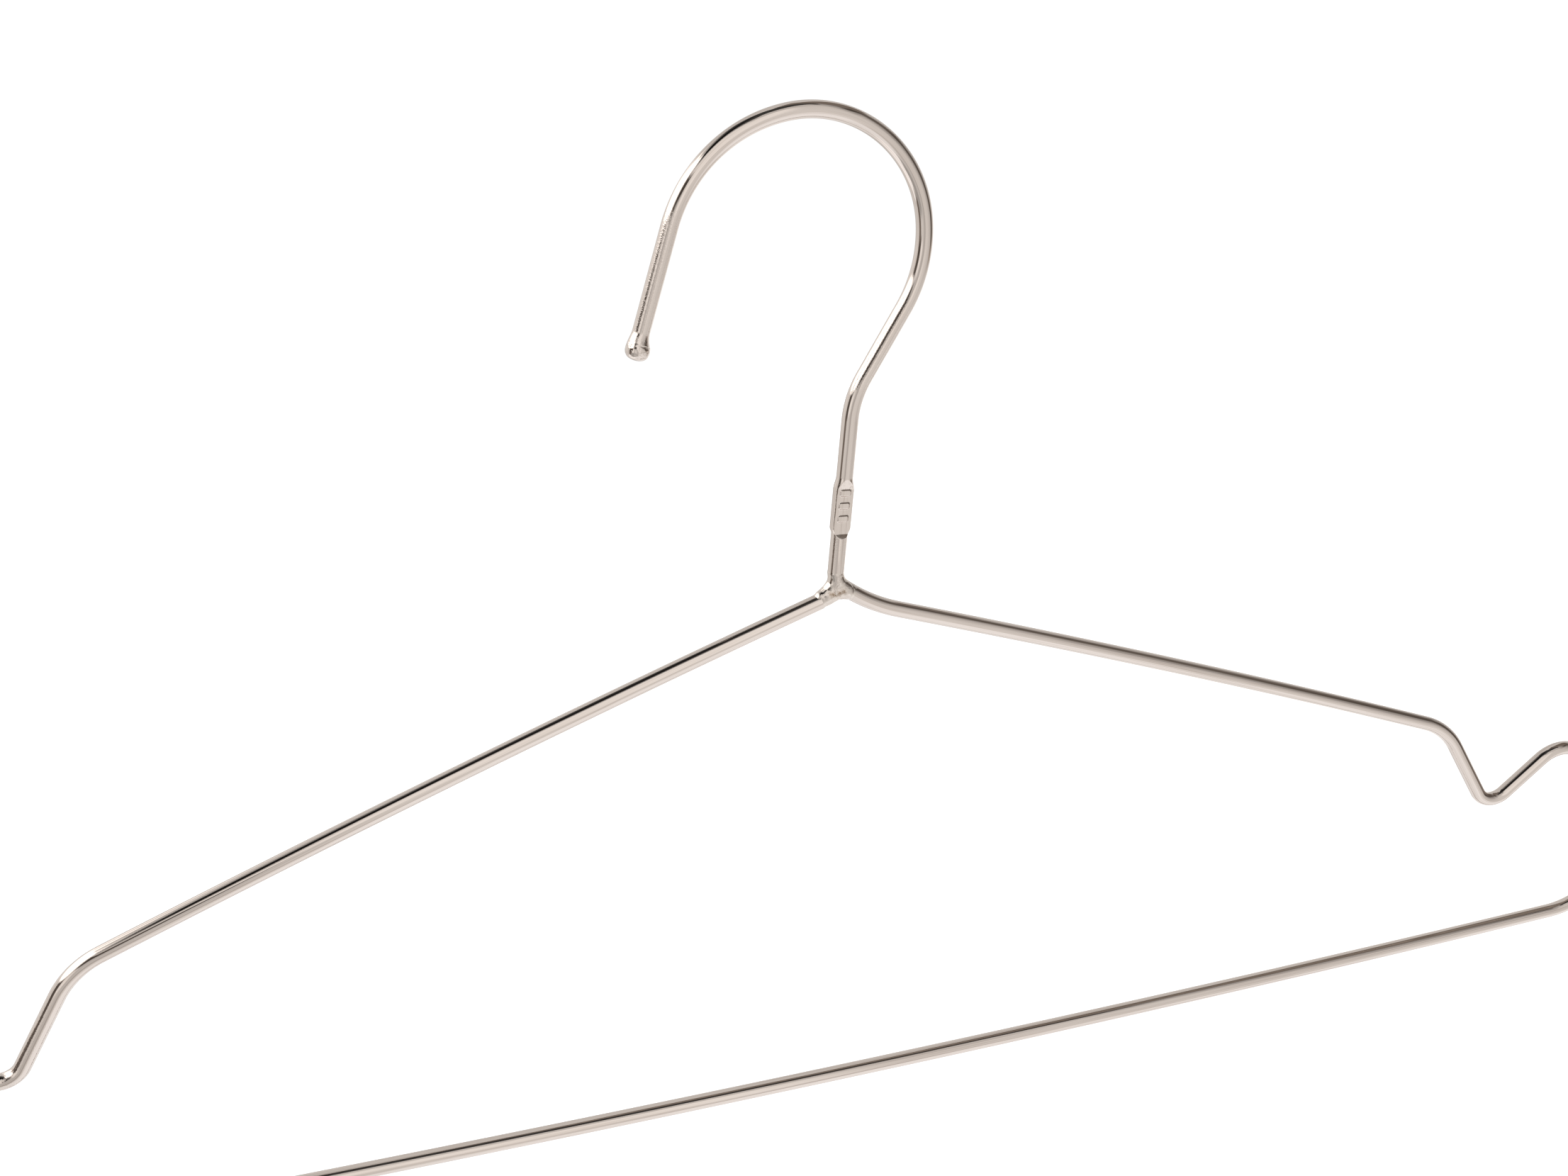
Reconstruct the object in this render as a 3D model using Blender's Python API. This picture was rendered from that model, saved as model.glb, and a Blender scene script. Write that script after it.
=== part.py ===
"""Clothes hanger bent from one round steel wire, in metres, hanging from a rail.

The wire starts at an upset ball, runs over the hook and down the neck, turns
into the right shoulder, and goes round the frame until its other end is welded
to the bottom of the neck. X runs along the trouser bar, Z is up, and the whole
wire lies in the plane Y = 0. The origin is where the rail touches the hook.
"""
import math

import bmesh
import bpy
from mathutils import Matrix, Vector

# The wire and the resolution of its facets
WIRE_DIAMETER = 0.0035
WIRE_RADIUS = WIRE_DIAMETER / 2
SIDES = 24
BEND_STEP = math.radians(7)
LONGEST_STEP = 0.024

# The hook, from its crown down to the ball on one side and to the neck on the other
CROWN_RADIUS = 0.0242
CROWN_TURN_TO_TIP = math.radians(7.1)
CROWN_TURN_TO_NECK = math.radians(86.3)
TIP_BEND_RADIUS = 0.0294
TIP_BEND_TURN = math.radians(64.5)
TIP_STRAIGHT = 0.0240
BALL_RADIUS = 0.00245
BALL_FLARE = 0.0036
BALL_FLAT = 0.0003
BALL_STEM = 0.0065
BALL_LEAN = 0.00025
BALL_RINGS = 8
FLARE_RINGS = 7
BACK_BEND_RADIUS = 0.0285
BACK_BEND_TURN = math.radians(36.1)
THROAT_STRAIGHT = 0.0156

# The neck and the flat pressed into it
NECK_BEND_RADIUS = 0.0202
NECK_BEND_TURN = math.radians(26.4)
NECK_STRAIGHT = 0.0325
PAD_START = 0.0130
PAD_LENGTH = 0.0111
PAD_HALF_WIDTH = 0.00215
PAD_FRONT_DEPTH = 0.00115
PAD_BACK_DEPTH = 0.00135
PAD_RAMP = 0.0012
PAD_STEP = 0.0003
PAD_SWELL = 0.18
PAD_RAMP_RINGS = 4

# The weld nugget between the neck and the two shoulders
WELD_BEND_RADIUS = 0.0043
WELD_BEND_TURN = math.radians(56.9)
WELD_RIGHT_RUN = 0.0025
WELD_HALF_WIDTH = 0.0027
WELD_HALF_DEPTH = 0.0021
WELD_HALF_HEIGHT = 0.0020
WELD_CENTRE_DROP = 0.0043
BRIDGE_RADIUS = 0.00165
BRIDGE_BEND_RADIUS = 0.0055
BRIDGE_TURN = math.radians(36)
WELD_GRAIN = 0.0003
WELD_SETTLING = 6
WELD_SHRINKAGE = 0.00002
HELPER_OVERRUN = 0.004
TRIM_BLOCK = 0.012
LEFT_END_FROM_AXIS = 0.0022

# The frame, whose middle lies beside the crown
FRAME_AXIS = 0.0038
SHOULDER_EASE_RADIUS = 0.0402
SHOULDER_START_SLOPE = math.radians(-18.7)
SHOULDER_BOW_RADIUS = 3.45
SHOULDER_BOW_LENGTH = 0.1472
NOTCH_LEAD = 0.006
NOTCH_CORNER_RADIUS = 0.0193
NOTCH_CORNER_TURN = math.radians(37.6)
NOTCH_DROP_LENGTH = 0.0170
NOTCH_BOTTOM_RADIUS = 0.0055
NOTCH_BOTTOM_TURN = math.radians(97.2)
NOTCH_RISE_LENGTH = 0.0125
NOTCH_PEAK_RADIUS = 0.0095
SHOULDER_END_SLOPE = math.radians(-20.5)
NOTCH_TAIL = 0.004
END_RADIUS = 0.0235
BAR_HEIGHT = -0.2196
BAR_BOW_RADIUS = 6.4
BAR_LEAD = 0.008

CREASE_ANGLE = math.radians(40)
STEEL_COLOUR = (0.62, 0.56, 0.51, 1.0)
STEEL_ROUGHNESS = 0.17
WELD_ROUGHNESS = 0.32


class Route:
    """A walk in the plane Y = 0 that leaves a station (x, z, heading) at each step."""

    def __init__(self, station):
        self.stations = [station]

    @property
    def end(self):
        return self.stations[-1]

    def straight(self, length):
        """Walk ahead by length."""
        x, z, heading = self.end
        steps = max(1, math.ceil(length / LONGEST_STEP))
        for step in range(1, steps + 1):
            run = length * step / steps
            self.stations.append(
                (x + run * math.cos(heading), z + run * math.sin(heading), heading)
            )
        return self

    def bend(self, radius, turn):
        """Walk round an arc. A positive turn bears left, seen from the front."""
        x, z, heading = self.end
        side = math.copysign(1, turn)
        centre_x = x - side * radius * math.sin(heading)
        centre_z = z + side * radius * math.cos(heading)
        by_angle = math.ceil(abs(turn) / BEND_STEP)
        by_length = math.ceil(abs(turn) * radius / LONGEST_STEP)
        steps = max(1, by_angle, by_length)
        for step in range(1, steps + 1):
            now = heading + turn * step / steps
            self.stations.append(
                (
                    centre_x + side * radius * math.sin(now),
                    centre_z - side * radius * math.cos(now),
                    now,
                )
            )
        return self


def turned_back(stations):
    """The same stations walked the other way."""
    return [(x, z, heading + math.pi) for x, z, heading in reversed(stations)]


def mirrored(stations):
    """The stations of the frame's other half."""
    return [
        (2 * FRAME_AXIS - x, z, math.pi - heading) for x, z, heading in stations
    ]


def frame_at(station):
    """Matrix of a station: X across the wire in the hanger's plane, Z along the wire."""
    x, z, heading = station
    along = Vector((math.cos(heading), 0, math.sin(heading)))
    across = Vector((-math.sin(heading), 0, math.cos(heading)))
    through = along.cross(across)
    turn = Matrix((across, through, along)).transposed().to_4x4()
    return Matrix.Translation((x, 0, z)) @ turn


def eased(share):
    """A share from 0 to 1 that starts and ends gently."""
    share = max(0.0, min(1.0, share))
    return share * share * (3 - 2 * share)


def steel(name, roughness):
    """A plain steel material."""
    material = bpy.data.materials.new(name)
    material.use_nodes = True
    shader = material.node_tree.nodes["Principled BSDF"]
    shader.inputs["Base Color"].default_value = STEEL_COLOUR
    shader.inputs["Metallic"].default_value = 1.0
    shader.inputs["Roughness"].default_value = roughness
    return material


def add_object(name, bm, roughness=STEEL_ROUGHNESS):
    """Turn a bmesh into a named object with round sides and crisp ends."""
    bmesh.ops.recalc_face_normals(bm, faces=bm.faces)
    mesh = bpy.data.meshes.new(name)
    bm.to_mesh(mesh)
    bm.free()
    mesh.shade_smooth()
    mesh.set_sharp_from_angle(angle=CREASE_ANGLE)
    mesh.materials.append(steel(f"{name}_steel", roughness))
    made = bpy.data.objects.new(name, mesh)
    bpy.context.scene.collection.objects.link(made)
    return made


def round_section(radius=WIRE_RADIUS):
    """A round section, as pairs of (across, through)."""
    turns = ((side + 0.5) * 2 * math.pi / SIDES for side in range(SIDES))
    return [(radius * math.cos(turn), radius * math.sin(turn)) for turn in turns]


def pressed_section(spread, pressed):
    """The wire's section where it is spread wider and pressed flat front and back."""
    width = 1 + spread * (PAD_HALF_WIDTH / WIRE_RADIUS - 1)
    front = WIRE_RADIUS + pressed * (PAD_FRONT_DEPTH - WIRE_RADIUS)
    back = WIRE_RADIUS + pressed * (PAD_BACK_DEPTH - WIRE_RADIUS)
    swell = 1 + PAD_SWELL * pressed
    section = []
    for across, through in round_section():
        section.append((across * width, max(-back, min(front, through * swell))))
    return section


def loft(stations, sections):
    """Skin a tube over one section per station, with flat ends square to the wire."""
    bm = bmesh.new()
    rings = []
    for station, section in zip(stations, sections):
        place = frame_at(station)
        rings.append([bm.verts.new(place @ Vector((u, v, 0))) for u, v in section])
    for first, second in zip(rings, rings[1:]):
        for side in range(SIDES):
            after = (side + 1) % SIDES
            bm.faces.new((first[side], first[after], second[after], second[side]))
    bm.faces.new(rings[0])
    bm.faces.new(rings[-1])
    return bm


def round_tube(stations, radius=WIRE_RADIUS):
    """A bmesh of a round tube along the stations."""
    return loft(stations, [round_section(radius)] * len(stations))


def wire(stations, *names):
    """Named stretches of round wire that share the stations evenly, and meet square."""
    share = (len(stations) - 1) / len(names)
    for place, name in enumerate(names):
        first, last = round(share * place), round(share * (place + 1))
        add_object(name, round_tube(stations[first : last + 1]))


def tip_route():
    """From the crown over the front of the hook to the stem of the ball."""
    route = Route((0.0, WIRE_RADIUS, math.pi))
    route.bend(CROWN_RADIUS, CROWN_TURN_TO_TIP)
    route.bend(TIP_BEND_RADIUS, TIP_BEND_TURN)
    return route.straight(TIP_STRAIGHT - BALL_STEM)


def throat_route():
    """From the crown over the back of the hook to the middle of the slanted straight."""
    route = Route((0.0, WIRE_RADIUS, 0.0))
    route.bend(CROWN_RADIUS, -CROWN_TURN_TO_NECK)
    route.bend(BACK_BEND_RADIUS, -BACK_BEND_TURN)
    return route.straight(THROAT_STRAIGHT / 2)


def ball_profile():
    """Half outline of the upset end, as (radius, height), from the ball's foot up the stem."""
    outline = [(0.0, -BALL_RADIUS + BALL_FLAT)]
    low = math.acos(1 - BALL_FLAT / BALL_RADIUS)
    for step in range(BALL_RINGS + 1):
        angle = low + (math.pi / 2 - low) * step / BALL_RINGS
        outline.append((BALL_RADIUS * math.sin(angle), -BALL_RADIUS * math.cos(angle)))
    for step in range(1, FLARE_RINGS + 1):
        share = step / FLARE_RINGS
        radius = BALL_RADIUS + (WIRE_RADIUS - BALL_RADIUS) * eased(share)
        outline.append((radius, BALL_FLARE * share))
    outline.append((WIRE_RADIUS, BALL_STEM))
    outline.append((0.0, BALL_STEM))
    return outline


def build_ball_tip(stem_end):
    """The upset ball, turned about the wire's axis below the last station of the hook."""
    bm = bmesh.new()
    half_side = Matrix.Rotation(math.pi / SIDES, 4, "Z")
    outline = [half_side @ Vector((radius, 0, height)) for radius, height in ball_profile()]
    points = [bm.verts.new(point) for point in outline]
    edges = [bm.edges.new(pair) for pair in zip(points, points[1:])]
    bmesh.ops.spin(
        bm,
        geom=points + edges,
        cent=(0, 0, 0),
        axis=(0, 0, 1),
        angle=2 * math.pi,
        steps=SIDES,
        use_merge=True,
    )
    bmesh.ops.remove_doubles(bm, verts=bm.verts, dist=1e-7)
    for vert in bm.verts:
        vert.co.x += BALL_LEAN * (1 - eased(vert.co.z / BALL_FLARE))
    flip = Matrix.Rotation(math.pi, 4, "X")
    shift = Matrix.Translation((0, 0, -BALL_STEM))
    bmesh.ops.transform(bm, matrix=flip @ shift, verts=bm.verts)
    add_object("ball_tip", bm).matrix_world = frame_at(stem_end)


def pad_share(distance, lower_run):
    """How far the pad is formed at a distance along the straight neck, from 0 to 1."""
    into = (distance - PAD_START) / PAD_RAMP
    out_of = (PAD_START + PAD_LENGTH - distance) / lower_run
    return eased(min(into, out_of))


def build_neck(start):
    """The lower throat, the neck's bend and the straight neck with its pressed flat."""
    lead = Route(start).straight(THROAT_STRAIGHT / 2).bend(NECK_BEND_RADIUS, NECK_BEND_TURN)
    pad_end = PAD_START + PAD_LENGTH
    ramp = [PAD_RAMP * step / PAD_RAMP_RINGS for step in range(PAD_RAMP_RINGS + 1)]
    marks = [PAD_START + run for run in ramp]
    marks += [pad_end - run for run in reversed(ramp[1:])]
    marks += [pad_end - PAD_STEP, pad_end, NECK_STRAIGHT]
    x, z, heading = lead.end
    neck = [
        (x + run * math.cos(heading), z + run * math.sin(heading), heading)
        for run in marks
    ]
    sections = [round_section()] * len(lead.stations)
    for run in marks:
        spread = pad_share(run, PAD_RAMP)
        pressed = pad_share(run, PAD_STEP)
        sections.append(pressed_section(spread, pressed))
    add_object("neck", loft(lead.stations + neck, sections))
    return neck[-1]


def guide(name, bm):
    """A helper shape that only cuts or joins, and is left out of the part."""
    helper = add_object(name, bm)
    helper.hide_render = True
    helper.display_type = "WIRE"
    return helper


def trim_block(name, station, ahead):
    """A block that starts at a station and covers all that lies past it."""
    bm = bmesh.new()
    bmesh.ops.create_cube(bm, size=TRIM_BLOCK)
    half = TRIM_BLOCK / 2
    shift = Matrix.Translation((0, 0, half if ahead else -half))
    bmesh.ops.transform(bm, matrix=frame_at(station) @ shift, verts=bm.verts)
    return guide(name, bm)


def behind(station):
    """Stations that reach back past a station, and end on it."""
    return turned_back(Route(turned_back([station])[0]).straight(HELPER_OVERRUN).stations)


def add_boolean(target, helper, operation):
    """Join a helper to the target, or cut it away."""
    modifier = target.modifiers.new(helper.name, "BOOLEAN")
    modifier.operation = operation
    modifier.solver = "EXACT"
    modifier.object = helper


def weld_metal(centre):
    """The molten drop that the three wire ends sink into."""
    bm = bmesh.new()
    bmesh.ops.create_icosphere(bm, subdivisions=4, radius=1.0)
    size = Matrix.Diagonal((WELD_HALF_WIDTH, WELD_HALF_DEPTH, WELD_HALF_HEIGHT, 1))
    bmesh.ops.transform(bm, matrix=Matrix.Translation(centre) @ size, verts=bm.verts)
    return add_object("neck_weld", bm, WELD_ROUGHNESS)


def build_weld(neck_end, right_start, left_end):
    """The nugget that fuses the three wire ends, trimmed square where each one begins."""
    bend = Route(neck_end).bend(WELD_BEND_RADIUS, WELD_BEND_TURN)
    bend.bend(SHOULDER_EASE_RADIUS, WELD_RIGHT_RUN / SHOULDER_EASE_RADIUS)
    bend.straight(HELPER_OVERRUN)
    bent_wire = behind(neck_end) + bend.stations[1:]
    bridge = Route(left_end).bend(BRIDGE_BEND_RADIUS, BRIDGE_TURN)
    bridge = behind(left_end) + bridge.stations[1:]
    middle = (right_start[0] + left_end[0]) / 2
    nugget = weld_metal(Vector((middle, 0, neck_end[1] - WELD_CENTRE_DROP)))
    wire_tube = round_tube(bent_wire, WIRE_RADIUS + WELD_SHRINKAGE)
    bridge_tube = round_tube(bridge, BRIDGE_RADIUS + WELD_SHRINKAGE)
    add_boolean(nugget, guide("weld_bent_wire", wire_tube), "UNION")
    add_boolean(nugget, guide("weld_bridge", bridge_tube), "UNION")
    melt = nugget.modifiers.new("melt", "REMESH")
    melt.mode = "VOXEL"
    melt.voxel_size = WELD_GRAIN
    melt.use_smooth_shade = True
    settle = nugget.modifiers.new("settle", "SMOOTH")
    settle.iterations = WELD_SETTLING
    add_boolean(nugget, trim_block("weld_trim_neck", neck_end, ahead=False), "DIFFERENCE")
    add_boolean(nugget, trim_block("weld_trim_right", right_start, ahead=True), "DIFFERENCE")
    add_boolean(nugget, trim_block("weld_trim_left", left_end, ahead=False), "DIFFERENCE")


def shoulder_route(start):
    """From the weld along the slightly bowed shoulder to just before the notch."""
    route = Route(start)
    route.bend(SHOULDER_EASE_RADIUS, SHOULDER_START_SLOPE - start[2])
    bow = SHOULDER_BOW_LENGTH - NOTCH_LEAD
    return route.bend(SHOULDER_BOW_RADIUS, -bow / SHOULDER_BOW_RADIUS)


def notch_route(start):
    """The V that keeps a strap on the shoulder, with a short run at each end."""
    route = Route(start).bend(SHOULDER_BOW_RADIUS, -NOTCH_LEAD / SHOULDER_BOW_RADIUS)
    route.bend(NOTCH_CORNER_RADIUS, -NOTCH_CORNER_TURN)
    route.straight(NOTCH_DROP_LENGTH)
    route.bend(NOTCH_BOTTOM_RADIUS, NOTCH_BOTTOM_TURN)
    route.straight(NOTCH_RISE_LENGTH)
    route.bend(NOTCH_PEAK_RADIUS, SHOULDER_END_SLOPE - route.end[2])
    return route.straight(NOTCH_TAIL)


def end_centre(start):
    """Centre of the end bend, which touches the shoulder's line and the bar's bow from inside."""
    x, z, heading = start
    along = Vector((math.cos(heading), math.sin(heading)))
    inward = Vector((math.sin(heading), -math.cos(heading)))
    base = Vector((x, z)) + inward * END_RADIUS
    bow_centre = Vector((FRAME_AXIS, BAR_HEIGHT + BAR_BOW_RADIUS))
    offset = base - bow_centre
    reach = BAR_BOW_RADIUS - END_RADIUS
    half = along.dot(offset)
    run = -half + math.sqrt(half * half - offset.length_squared + reach * reach)
    return base + along * run, run


def end_route(start):
    """From the notch down the shoulder's last straight and round into the bar."""
    centre, run = end_centre(start)
    bow_centre = Vector((FRAME_AXIS, BAR_HEIGHT + BAR_BOW_RADIUS))
    outward = centre - bow_centre
    bar_heading = math.atan2(outward.x, -outward.y) - math.pi
    route = Route(start).straight(run)
    route.bend(END_RADIUS, bar_heading - start[2])
    return route.bend(BAR_BOW_RADIUS, -BAR_LEAD / BAR_BOW_RADIUS)


def bar_route(start):
    """The bar between the two ends, bowed down in its middle."""
    tilt = start[2] + math.pi
    return Route(start).bend(BAR_BOW_RADIUS, -2 * tilt)


def left_shoulder_end(right_end):
    """Station where the left shoulder meets the weld, on the mirror of the right one's line."""
    radius = SHOULDER_BOW_RADIUS
    x, z, heading = right_end
    centre_x = x + radius * math.sin(heading)
    centre_z = z - radius * math.cos(heading)
    reach = FRAME_AXIS + LEFT_END_FROM_AXIS
    now = math.asin((centre_x - reach) / radius)
    return (reach, centre_z + radius * math.cos(now), now)


def main():
    for old in list(bpy.data.objects):
        bpy.data.objects.remove(old, do_unlink=True)

    tip = tip_route()
    throat = throat_route()
    build_ball_tip(tip.end)
    wire(turned_back(tip.stations) + throat.stations[1:], "hook")
    neck_end = build_neck(throat.end)

    bend = Route(neck_end).bend(WELD_BEND_RADIUS, WELD_BEND_TURN)
    bend.bend(SHOULDER_EASE_RADIUS, WELD_RIGHT_RUN / SHOULDER_EASE_RADIUS)
    shoulder = shoulder_route(bend.end)
    notch = notch_route(shoulder.end)
    outer_end = end_route(notch.end)
    bar = bar_route(outer_end.end)
    wire(shoulder.stations, "right_shoulder", "right_shoulder_slope")
    wire(notch.stations, "right_strap_notch")
    wire(outer_end.stations, "right_shoulder_end")
    wire(bar.stations, "bar_right_run", "trouser_bar", "bar_left_run")

    joint = left_shoulder_end(shoulder.end)
    bow = joint[2] - shoulder.end[2]
    left = Route(joint).bend(SHOULDER_BOW_RADIUS, -bow)
    wire(mirrored(outer_end.stations), "left_shoulder_end")
    wire(mirrored(notch.stations), "left_strap_notch")
    wire(mirrored(left.stations), "left_shoulder", "left_shoulder_slope")
    build_weld(neck_end, bend.end, turned_back(mirrored([joint]))[0])


if __name__ == "__main__":
    main()
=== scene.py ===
"""Looks of a clothes hanger bent from one round stainless steel wire.

The wire is walked once from its upset ball to the weld at the neck, and each
stretch of it becomes a finely ringed tube that stands for one CAD node. Lengths
are in metres, X runs along the trouser bar, Z is up, and the front is -Y.
"""
import logging
import math
from dataclasses import dataclass, field
from enum import Enum
from typing import Sequence

import bmesh
import bpy
import numpy as np
from mathutils import Matrix, Vector, noise


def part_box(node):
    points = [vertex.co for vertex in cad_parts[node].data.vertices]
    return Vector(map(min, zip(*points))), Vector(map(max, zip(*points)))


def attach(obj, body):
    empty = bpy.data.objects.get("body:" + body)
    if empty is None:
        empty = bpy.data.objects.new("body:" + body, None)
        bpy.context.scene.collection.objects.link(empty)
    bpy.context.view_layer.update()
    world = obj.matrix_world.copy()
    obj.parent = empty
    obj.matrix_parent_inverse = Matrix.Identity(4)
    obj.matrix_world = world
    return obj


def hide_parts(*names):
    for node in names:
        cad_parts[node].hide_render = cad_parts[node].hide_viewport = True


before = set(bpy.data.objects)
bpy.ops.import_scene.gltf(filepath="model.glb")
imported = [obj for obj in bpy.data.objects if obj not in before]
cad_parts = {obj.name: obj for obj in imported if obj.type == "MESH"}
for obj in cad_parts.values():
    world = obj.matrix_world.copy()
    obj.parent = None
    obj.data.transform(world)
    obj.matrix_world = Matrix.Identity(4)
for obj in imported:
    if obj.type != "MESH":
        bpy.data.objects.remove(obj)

LOG = logging.getLogger("hanger")
WIRE_RADIUS = 0.00175
SIDES = 72
BEND_STEP = math.radians(1.5)
LONGEST_STEP = 0.004
CREASE_ANGLE = math.radians(42)
# Where the wire has orange peel: first and last place along it, and its strength
PEELED_RUNS = (
    (-0.004, 0.030, 1.0),
    (0.114, 0.136, 0.7),
    (0.1538, 0.1662, 0.6),
    (0.1652, 0.1672, 1.6),
    (0.962, 0.990, 0.8),
)
PEEL_FADE = 0.0012
PEEL_ELSEWHERE = 0.05

Colour = tuple[float, float, float]
Point = tuple[float, float]
Span = tuple[float, float]
Section = list[Point]
Station = tuple[float, float, float]


class Slot(Enum):
    """Names for material slots, which nothing in this script assigns."""

    WIRE = "wire_steel"
    WELD = "weld_steel"


# Shader maths


class Socket:
    """A node's output that can be used in Python expressions of numbers."""

    def __init__(self, sheet: "Sheet", output: bpy.types.NodeSocket) -> None:
        """Wrap an output of a node on the sheet."""
        self.sheet = sheet
        self.output = output

    def __add__(self, other: "Socket | float") -> "Socket":
        """Sum of the two."""
        return self.sheet.maths("ADD", self, other)

    def __radd__(self, other: float) -> "Socket":
        """Sum of the two."""
        return self.sheet.maths("ADD", other, self)

    def __sub__(self, other: "Socket | float") -> "Socket":
        """Difference of the two."""
        return self.sheet.maths("SUBTRACT", self, other)

    def __rsub__(self, other: float) -> "Socket":
        """Difference of the two."""
        return self.sheet.maths("SUBTRACT", other, self)

    def __mul__(self, other: "Socket | float") -> "Socket":
        """Product of the two."""
        return self.sheet.maths("MULTIPLY", self, other)

    def __rmul__(self, other: float) -> "Socket":
        """Product of the two."""
        return self.sheet.maths("MULTIPLY", other, self)

    def __abs__(self) -> "Socket":
        """The number without its sign."""
        return self.sheet.maths("ABSOLUTE", self)

    def smooth(self, low: float, high: float) -> "Socket":
        """A share that eases from 0 at low to 1 at high.

        Args:
            low: where the share is 0.
            high: where the share is 1.

        Returns:
            The share.
        """
        node = self.sheet.node(
            "ShaderNodeMapRange",
            {"interpolation_type": "SMOOTHSTEP"},
            {"Value": self, "From Min": low, "From Max": high},
        )
        return Socket(self.sheet, node.outputs["Result"])

    def beside(self, middle: float) -> "Socket":
        """This angle from another, in degrees between -180 and 180."""
        return self.sheet.maths("WRAP", self - middle, -180.0, 180.0)


class Sheet:
    """The node tree of one material or world, emptied and filled again."""

    def __init__(self, tree: bpy.types.NodeTree) -> None:
        """Empty a node tree, to fill it again."""
        self.tree = tree
        self.tree.nodes.clear()

    def node(
        self, kind: str, settings: dict[str, object], inputs: dict[str | int, object]
    ) -> bpy.types.Node:
        """Add a node of any kind.

        Args:
            kind: the node's type name.
            settings: its properties, which are set first.
            inputs: values or sockets for its inputs, by name or place.

        Returns:
            The node.
        """
        made = self.tree.nodes.new(kind)
        for name, value in settings.items():
            setattr(made, name, value)
        for name, value in inputs.items():
            if isinstance(value, Socket):
                self.tree.links.new(value.output, made.inputs[name])
            else:
                made.inputs[name].default_value = value
        return made

    def maths(self, operation: str, *values: "Socket | float") -> Socket:
        """A Math node on one to three numbers.

        Args:
            operation: the node's operation.
            values: the numbers.

        Returns:
            The result.
        """
        node = self.node(
            "ShaderNodeMath", {"operation": operation}, dict(enumerate(values))
        )
        return Socket(self, node.outputs[0])

    def mix(self, share: "Socket | float", first: object, second: object) -> Socket:
        """A colour between two.

        Args:
            share: 0 for the first colour, 1 for the second.
            first: a colour or a socket of one.
            second: a colour or a socket of one.

        Returns:
            The mixed colour.
        """
        node = self.node(
            "ShaderNodeMix", {"data_type": "RGBA"}, {0: share, 6: first, 7: second}
        )
        return Socket(self, node.outputs[2])

    def scaled(self, vector: Socket, by: Sequence[float]) -> Socket:
        """A vector multiplied by another, axis by axis.

        Args:
            vector: the vector.
            by: the factor of each axis.

        Returns:
            The product.
        """
        node = self.node(
            "ShaderNodeVectorMath", {"operation": "MULTIPLY"}, {0: vector, 1: by}
        )
        return Socket(self, node.outputs[0])

    def grain(
        self, place: Socket, size: float, detail: float = 2.0, rough: float = 0.5
    ) -> Socket:
        """Even noise with grains of a given size.

        Args:
            place: the coordinates.
            size: the size of a grain, in metres.
            detail: how many finer layers it has.
            rough: how strong the finer layers are.

        Returns:
            The noise, from 0 to 1.
        """
        node = self.node(
            "ShaderNodeTexNoise",
            {},
            {"Vector": place, "Scale": 1 / size, "Detail": detail, "Roughness": rough},
        )
        return Socket(self, node.outputs["Fac"])

    def attribute(self, name: str, output: str) -> Socket:
        """A value that is kept on the mesh."""
        node = self.node("ShaderNodeAttribute", {"attribute_name": name}, {})
        return Socket(self, node.outputs[output])

    def bump(self, height: Socket, depth: float, under: Socket | None = None) -> Socket:
        """The normal of a surface with a relief.

        Args:
            height: the relief, from 0 to 1.
            depth: how deep it is, in metres.
            under: the normal of a relief below it.

        Returns:
            The normal.
        """
        inputs: dict[str | int, object] = {"Height": height, "Distance": depth}
        if under is not None:
            inputs["Normal"] = under
        return Socket(self, self.node("ShaderNodeBump", {}, inputs).outputs[0])

    def close(
        self,
        shader: str,
        inputs: dict[str | int, object],
        output: str = "ShaderNodeOutputMaterial",
    ) -> None:
        """Add the shader and the sheet's output.

        Args:
            shader: the shader's type name.
            inputs: its values or sockets.
            output: the output's type name.
        """
        surface = Socket(self, self.node(shader, {}, inputs).outputs[0])
        self.node(output, {}, {"Surface": surface})

    def metal(self, colour: Socket, rough: Socket, normal: Socket) -> None:
        """Close the sheet with a bare metal.

        Args:
            colour: its colour.
            rough: its roughness.
            normal: its normal.
        """
        self.close(
            "ShaderNodeBsdfPrincipled",
            {
                "Base Color": colour,
                "Metallic": 1.0,
                "Roughness": rough,
                "Normal": normal,
            },
        )


def fresh_material(name: str) -> tuple[bpy.types.Material, Sheet]:
    """A new material and its empty sheet."""
    made = bpy.data.materials.new(name)
    made.use_nodes = True
    return made, Sheet(made.node_tree)


def rgba(colour: Colour) -> tuple[float, float, float, float]:
    """The colour with full alpha."""
    return (*colour, 1.0)


def grey(level: float) -> tuple[float, float, float, float]:
    """A grey with full alpha."""
    return (level, level, level, 1.0)


# Finishes


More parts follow.
